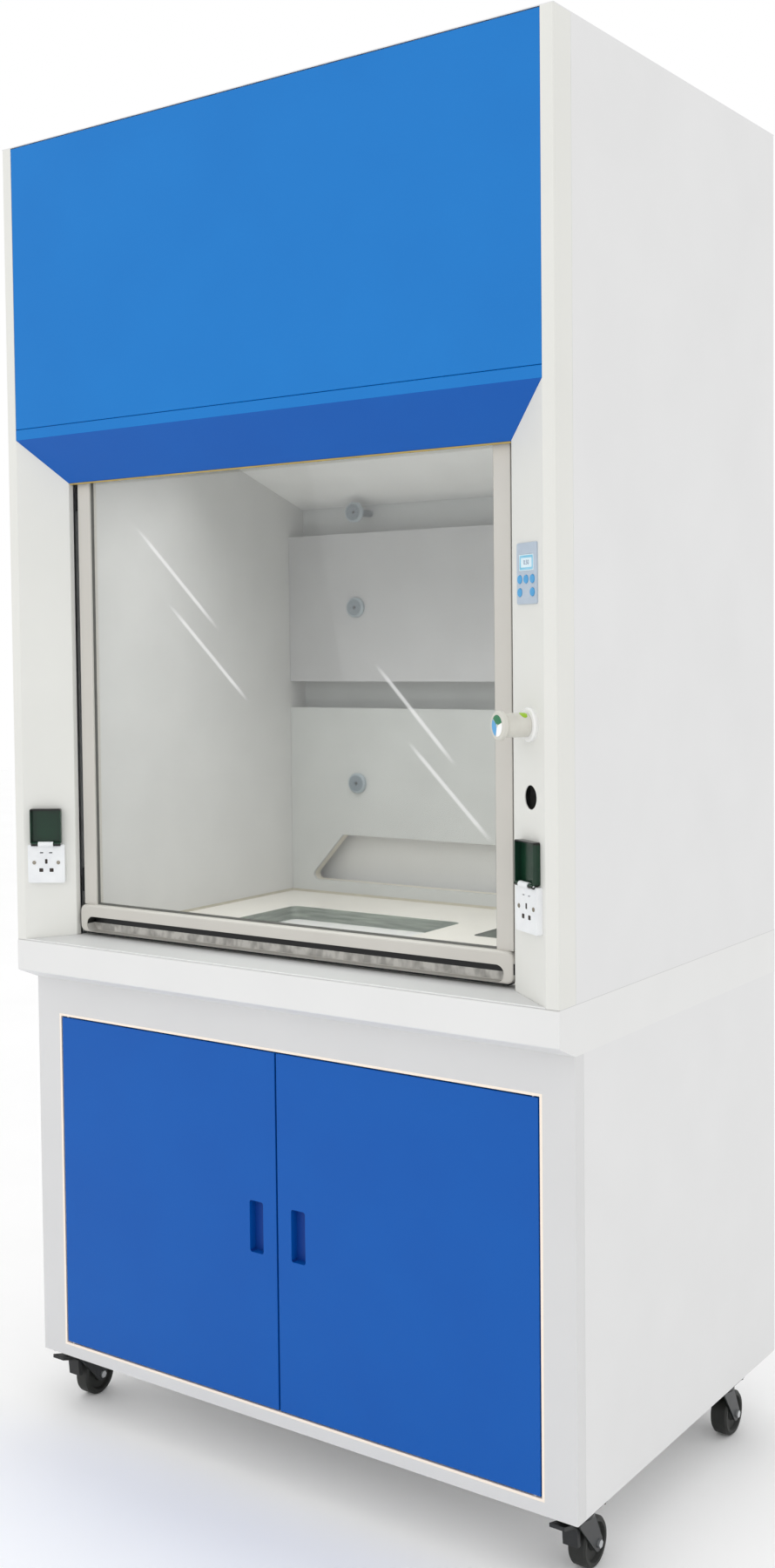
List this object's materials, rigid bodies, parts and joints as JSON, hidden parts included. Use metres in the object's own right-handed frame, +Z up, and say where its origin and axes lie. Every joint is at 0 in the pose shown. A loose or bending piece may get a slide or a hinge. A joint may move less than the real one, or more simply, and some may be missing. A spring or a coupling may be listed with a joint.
{
  "type": "ducted fume hood",
  "caption": "Floor-standing ducted fume hood on casters, with a lifting glass sash, splayed front frame, baffled chamber, sink, exhaust fan and cupboard doors.",
  "frame": {"origin": "on the floor, under the middle of the whole outline, the valve's handle included", "axes": "+Z up, +X to the hood's right as seen from in front, -Y out of the front"},
  "size_m": [1.04, 0.8308, 2.26],
  "materials": {
    "body_white": "satin powder coat",
    "panel_blue": "satin powder coat",
    "trim_blue": "satin powder coat",
    "worktop": "compact laminate board, ivory faces",
    "liner": "compact laminate, satin",
    "basin": "moulded polypropylene",
    "disc": "moulded, satin",
    "lamp": "opal",
    "track": "extruded, anodised",
    "pane": "toughened, clear",
    "sash_metal": "powder coated",
    "slider": "satin black",
    "belt": "toothed belt, matt",
    "steel": "ground",
    "idler": "moulded nylon",
    "galvanised": "galvanised sheet",
    "motor": "grey machine enamel",
    "fan_case": "moulded polypropylene",
    "impeller": "moulded polypropylene",
    "panel_plastic": "moulded bezel",
    "display": "glossy display window",
    "key": "translucent cap",
    "valve_metal": "plated brass",
    "handle_plastic": "moulded nylon",
    "socket": "moulded",
    "lid": "tinted, clear",
    "caster_metal": "black coat",
    "pedal": "moulded",
    "wheel": "solid tread"
  },
  "bodies": {
    "hood": {"corner_posts": "body_white", "side_skins": "body_white", "rear_skins": "body_white", "roof": "body_white", "base_slab": "body_white", "sill": "body_white", "cabinet_frame": "body_white", "cabinet_shell": "body_white", "shelf": "body_white", "access_panel": "panel_blue", "lintel": "trim_blue", "worktop_board": "worktop", "side_liners": "liner", "back_liner": "liner", "ceiling_panel": "liner", "rear_baffles": "liner", "basins": "basin", "fixing_discs": "disc", "lamp": "lamp", "guide_tracks": "track", "drive_belts": "belt", "hinge_pins": "steel", "drive_frame": "galvanised", "plenum_box": "galvanised", "exhaust_collar": "galvanised", "gear_motor": "motor", "fan_casing": "fan_case", "control_panel": "panel_plastic", "display": "display", "valve_body": "valve_metal", "socket_plates": "socket", "caster_plates": "caster_metal"},
    "sash": {"sash_glass": "pane", "sash_frame": "sash_metal", "handle_rail": "sash_metal", "sash_slides": "slider"},
    "shaft": {"cross_shaft": "steel"},
    "idler_left": {"idler_left": "idler"},
    "idler_right": {"idler_right": "idler"},
    "impeller": {"impeller": "impeller"},
    "door_left": {"door_left": "trim_blue"},
    "door_right": {"door_right": "trim_blue"},
    "valve_handle": {"valve_handle": "handle_plastic"},
    "lid_left": {"lid_left": "lid"},
    "lid_right": {"lid_right": "lid"},
    "key_1_1": {"key_1_1": "key"},
    "key_1_2": {"key_1_2": "key"},
    "key_1_3": {"key_1_3": "key"},
    "key_2_1": {"key_2_1": "key"},
    "key_2_2": {"key_2_2": "key"},
    "fork_front_left": {"fork_front_left": "caster_metal"},
    "wheel_front_left": {"wheel_front_left": "wheel"},
    "fork_front_right": {"fork_front_right": "caster_metal"},
    "wheel_front_right": {"wheel_front_right": "wheel"},
    "fork_rear_left": {"fork_rear_left": "caster_metal"},
    "wheel_rear_left": {"wheel_rear_left": "wheel"},
    "fork_rear_right": {"fork_rear_right": "caster_metal"},
    "wheel_rear_right": {"wheel_rear_right": "wheel"},
    "pedal_front_left": {"pedal_front_left": "pedal"},
    "pedal_front_right": {"pedal_front_right": "pedal"}
  },
  "joints": [
    {"name": "sash_slide", "type": "slide", "parent": "hood", "child": "sash", "axis": [0, 0, 1], "range_m": [0, 0.5]},
    {"name": "shaft_turn", "type": "hinge", "parent": "hood", "child": "shaft", "pos_m": [0, -0.26628, 2.152], "axis": [1, 0, 0], "range_deg": [-1140, 0]},
    {"name": "idler_left_turn", "type": "hinge", "parent": "hood", "child": "idler_left", "pos_m": [-0.452, -0.26628, 1.54], "axis": [1, 0, 0], "range_deg": [-1140, 0]},
    {"name": "idler_right_turn", "type": "hinge", "parent": "hood", "child": "idler_right", "pos_m": [0.452, -0.26628, 1.54], "axis": [1, 0, 0], "range_deg": [-1140, 0]},
    {"name": "fan_spin", "type": "hinge", "parent": "hood", "child": "impeller", "pos_m": [0, 0.09542, 1.95], "axis": [0, 0, 1], "continuous": true},
    {"name": "door_left_swing", "type": "hinge", "parent": "hood", "child": "door_left", "pos_m": [-0.4515, -0.33158, 0.419], "axis": [0, 0, 1], "range_deg": [-110, 0]},
    {"name": "door_right_swing", "type": "hinge", "parent": "hood", "child": "door_right", "pos_m": [0.4515, -0.33158, 0.419], "axis": [0, 0, 1], "range_deg": [0, 110]},
    {"name": "valve_turn", "type": "hinge", "parent": "hood", "child": "valve_handle", "pos_m": [0.46672, -0.36239, 1.23397], "axis": [-0.5547, -0.8321, 0], "range_deg": [0, 270]},
    {"name": "lid_left_swing", "type": "hinge", "parent": "hood", "child": "lid_left", "pos_m": [-0.46117, -0.37071, 1.01198], "axis": [0.8321, 0.5547, 0], "range_deg": [0, 180]},
    {"name": "lid_right_swing", "type": "hinge", "parent": "hood", "child": "lid_right", "pos_m": [0.46117, -0.37071, 1.01198], "axis": [0.8321, -0.5547, 0], "range_deg": [0, 180]},
    {"name": "key_1_1_press", "type": "slide", "parent": "hood", "child": "key_1_1", "axis": [0.5547, 0.8321, 0], "range_m": [0, 0.0008], "stiffness_N_per_m": 600},
    {"name": "key_1_2_press", "type": "slide", "parent": "hood", "child": "key_1_2", "axis": [0.5547, 0.8321, 0], "range_m": [0, 0.0008], "stiffness_N_per_m": 600},
    {"name": "key_1_3_press", "type": "slide", "parent": "hood", "child": "key_1_3", "axis": [0.5547, 0.8321, 0], "range_m": [0, 0.0008], "stiffness_N_per_m": 600},
    {"name": "key_2_1_press", "type": "slide", "parent": "hood", "child": "key_2_1", "axis": [0.5547, 0.8321, 0], "range_m": [0, 0.0008], "stiffness_N_per_m": 600},
    {"name": "key_2_2_press", "type": "slide", "parent": "hood", "child": "key_2_2", "axis": [0.5547, 0.8321, 0], "range_m": [0, 0.0008], "stiffness_N_per_m": 600},
    {"name": "swivel_front_left", "type": "hinge", "parent": "hood", "child": "fork_front_left", "pos_m": [-0.487, -0.27958, 0.094], "axis": [0, 0, 1], "continuous": true},
    {"name": "roll_front_left", "type": "hinge", "parent": "fork_front_left", "child": "wheel_front_left", "pos_m": [-0.487, -0.24258, 0.037], "axis": [1, 0, 0], "continuous": true},
    {"name": "swivel_front_right", "type": "hinge", "parent": "hood", "child": "fork_front_right", "pos_m": [0.487, -0.27958, 0.094], "axis": [0, 0, 1], "continuous": true},
    {"name": "roll_front_right", "type": "hinge", "parent": "fork_front_right", "child": "wheel_front_right", "pos_m": [0.487, -0.24258, 0.037], "axis": [1, 0, 0], "continuous": true},
    {"name": "swivel_rear_left", "type": "hinge", "parent": "hood", "child": "fork_rear_left", "pos_m": [-0.487, 0.24342, 0.094], "axis": [0, 0, 1], "continuous": true},
    {"name": "roll_rear_left", "type": "hinge", "parent": "fork_rear_left", "child": "wheel_rear_left", "pos_m": [-0.487, 0.28042, 0.037], "axis": [1, 0, 0], "continuous": true},
    {"name": "swivel_rear_right", "type": "hinge", "parent": "hood", "child": "fork_rear_right", "pos_m": [0.487, 0.24342, 0.094], "axis": [0, 0, 1], "continuous": true},
    {"name": "roll_rear_right", "type": "hinge", "parent": "fork_rear_right", "child": "wheel_rear_right", "pos_m": [0.487, 0.28042, 0.037], "axis": [1, 0, 0], "continuous": true},
    {"name": "brake_front_left", "type": "hinge", "parent": "fork_front_left", "child": "pedal_front_left", "pos_m": [-0.487, -0.29458, 0.085], "axis": [1, 0, 0], "range_deg": [0, 15]},
    {"name": "brake_front_right", "type": "hinge", "parent": "fork_front_right", "child": "pedal_front_right", "pos_m": [0.487, -0.29458, 0.085], "axis": [1, 0, 0], "range_deg": [0, 15]}
  ],
  "couplings": [
    {"joint": "shaft_turn", "follows": "sash_slide", "rad_per_m": -39.526},
    {"joint": "idler_left_turn", "follows": "sash_slide", "rad_per_m": -39.526},
    {"joint": "idler_right_turn", "follows": "sash_slide", "rad_per_m": -39.526}
  ]
}
